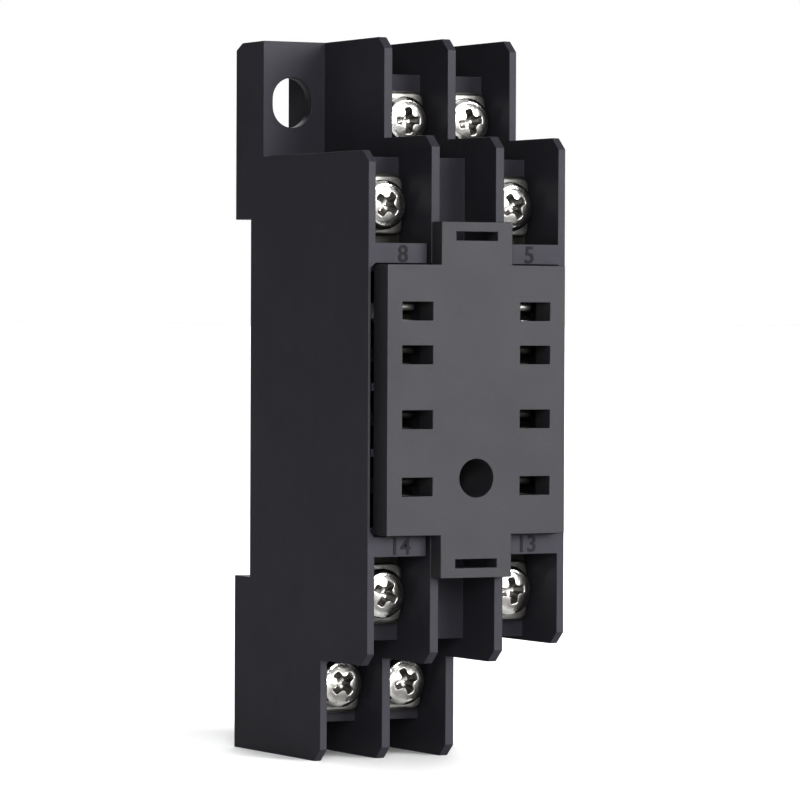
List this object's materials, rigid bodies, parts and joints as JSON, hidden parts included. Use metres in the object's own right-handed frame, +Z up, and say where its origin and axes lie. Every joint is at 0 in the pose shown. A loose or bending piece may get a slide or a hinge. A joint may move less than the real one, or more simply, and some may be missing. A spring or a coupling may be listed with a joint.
{
  "type": "relay socket",
  "caption": "Plug-in relay socket with raised contact face, screw terminals in two tiers at each end, diagonal mounting ears and a rail latch.",
  "frame": {"origin": "middle of the rail seat face, at half the width and half the height of the housing", "axes": "+X across the width to the right, -Y towards the user, +Z up"},
  "size_m": [0.022, 0.0313, 0.072],
  "materials": {
    "housing_plastic": "black moulded polyester, fine satin",
    "cover_plastic": "black moulded polyester, fine satin",
    "latch_plastic": "black moulded nylon, satin",
    "steel": "zinc plated",
    "spring_steel": "bright spring wire",
    "nickel_strip": "nickel plated, stamped",
    "contact_bronze": "tinned phosphor bronze",
    "nickel_washer": "nickel plated, stamped",
    "nickel_screw": "bright nickel plated"
  },
  "bodies": {
    "socket": {"housing": "housing_plastic", "face_cover": "cover_plastic", "cover_screw": "steel", "latch_spring": "spring_steel", "strip_1": "nickel_strip", "strip_4": "nickel_strip", "strip_5": "nickel_strip", "strip_8": "nickel_strip", "strip_9": "nickel_strip", "strip_12": "nickel_strip", "strip_13": "nickel_strip", "strip_14": "nickel_strip", "contact_1": "contact_bronze", "contact_4": "contact_bronze", "contact_5": "contact_bronze", "contact_8": "contact_bronze", "contact_9": "contact_bronze", "contact_12": "contact_bronze", "contact_13": "contact_bronze", "contact_14": "contact_bronze"},
    "latch": {"rail_latch": "latch_plastic"},
    "clamp_1": {"washer_1": "nickel_washer"},
    "screw_1": {"screw_1": "nickel_screw"},
    "clamp_4": {"washer_4": "nickel_washer"},
    "screw_4": {"screw_4": "nickel_screw"},
    "clamp_5": {"washer_5": "nickel_washer"},
    "screw_5": {"screw_5": "nickel_screw"},
    "clamp_8": {"washer_8": "nickel_washer"},
    "screw_8": {"screw_8": "nickel_screw"},
    "clamp_9": {"washer_9": "nickel_washer"},
    "screw_9": {"screw_9": "nickel_screw"},
    "clamp_12": {"washer_12": "nickel_washer"},
    "screw_12": {"screw_12": "nickel_screw"},
    "clamp_13": {"washer_13": "nickel_washer"},
    "screw_13": {"screw_13": "nickel_screw"},
    "clamp_14": {"washer_14": "nickel_washer"},
    "screw_14": {"screw_14": "nickel_screw"}
  },
  "joints": [
    {"name": "clamp_1_lift", "type": "slide", "parent": "socket", "child": "clamp_1", "axis": [0, -1, 0], "range_m": [0, 0.0025]},
    {"name": "screw_1_turn", "type": "hinge", "parent": "clamp_1", "child": "screw_1", "pos_m": [0.00714, -0.0115, 0.0278], "axis": [0, -1, 0], "range_deg": [0, 1800]},
    {"name": "clamp_4_lift", "type": "slide", "parent": "socket", "child": "clamp_4", "axis": [0, -1, 0], "range_m": [0, 0.0025]},
    {"name": "screw_4_turn", "type": "hinge", "parent": "clamp_4", "child": "screw_4", "pos_m": [0, -0.0115, 0.0278], "axis": [0, -1, 0], "range_deg": [0, 1800]},
    {"name": "clamp_5_lift", "type": "slide", "parent": "socket", "child": "clamp_5", "axis": [0, -1, 0], "range_m": [0, 0.0025]},
    {"name": "screw_5_turn", "type": "hinge", "parent": "clamp_5", "child": "screw_5", "pos_m": [0.00714, -0.0205, 0.0191], "axis": [0, -1, 0], "range_deg": [0, 1800]},
    {"name": "clamp_8_lift", "type": "slide", "parent": "socket", "child": "clamp_8", "axis": [0, -1, 0], "range_m": [0, 0.0025]},
    {"name": "screw_8_turn", "type": "hinge", "parent": "clamp_8", "child": "screw_8", "pos_m": [-0.00714, -0.0205, 0.0191], "axis": [0, -1, 0], "range_deg": [0, 1800]},
    {"name": "clamp_9_lift", "type": "slide", "parent": "socket", "child": "clamp_9", "axis": [0, -1, 0], "range_m": [0, 0.0025]},
    {"name": "screw_9_turn", "type": "hinge", "parent": "clamp_9", "child": "screw_9", "pos_m": [0, -0.0115, -0.0285], "axis": [0, -1, 0], "range_deg": [0, 1800]},
    {"name": "clamp_12_lift", "type": "slide", "parent": "socket", "child": "clamp_12", "axis": [0, -1, 0], "range_m": [0, 0.0025]},
    {"name": "screw_12_turn", "type": "hinge", "parent": "clamp_12", "child": "screw_12", "pos_m": [-0.00714, -0.0115, -0.0285], "axis": [0, -1, 0], "range_deg": [0, 1800]},
    {"name": "clamp_13_lift", "type": "slide", "parent": "socket", "child": "clamp_13", "axis": [0, -1, 0], "range_m": [0, 0.0025]},
    {"name": "screw_13_turn", "type": "hinge", "parent": "clamp_13", "child": "screw_13", "pos_m": [0.00714, -0.0205, -0.0191], "axis": [0, -1, 0], "range_deg": [0, 1800]},
    {"name": "clamp_14_lift", "type": "slide", "parent": "socket", "child": "clamp_14", "axis": [0, -1, 0], "range_m": [0, 0.0025]},
    {"name": "screw_14_turn", "type": "hinge", "parent": "clamp_14", "child": "screw_14", "pos_m": [-0.00714, -0.0205, -0.0191], "axis": [0, -1, 0], "range_deg": [0, 1800]},
    {"name": "latch_pull", "type": "slide", "parent": "socket", "child": "latch", "axis": [0, 0, -1], "range_m": [0, 0.0024], "stiffness_N_per_m": 1500, "springref_m": -0.003, "deforming": ["latch_spring"]}
  ],
  "couplings": [
    {"joint": "screw_1_turn", "follows": "clamp_1_lift", "rad_per_m": 12566},
    {"joint": "screw_4_turn", "follows": "clamp_4_lift", "rad_per_m": 12566},
    {"joint": "screw_5_turn", "follows": "clamp_5_lift", "rad_per_m": 12566},
    {"joint": "screw_8_turn", "follows": "clamp_8_lift", "rad_per_m": 12566},
    {"joint": "screw_9_turn", "follows": "clamp_9_lift", "rad_per_m": 12566},
    {"joint": "screw_12_turn", "follows": "clamp_12_lift", "rad_per_m": 12566},
    {"joint": "screw_13_turn", "follows": "clamp_13_lift", "rad_per_m": 12566},
    {"joint": "screw_14_turn", "follows": "clamp_14_lift", "rad_per_m": 12566}
  ]
}
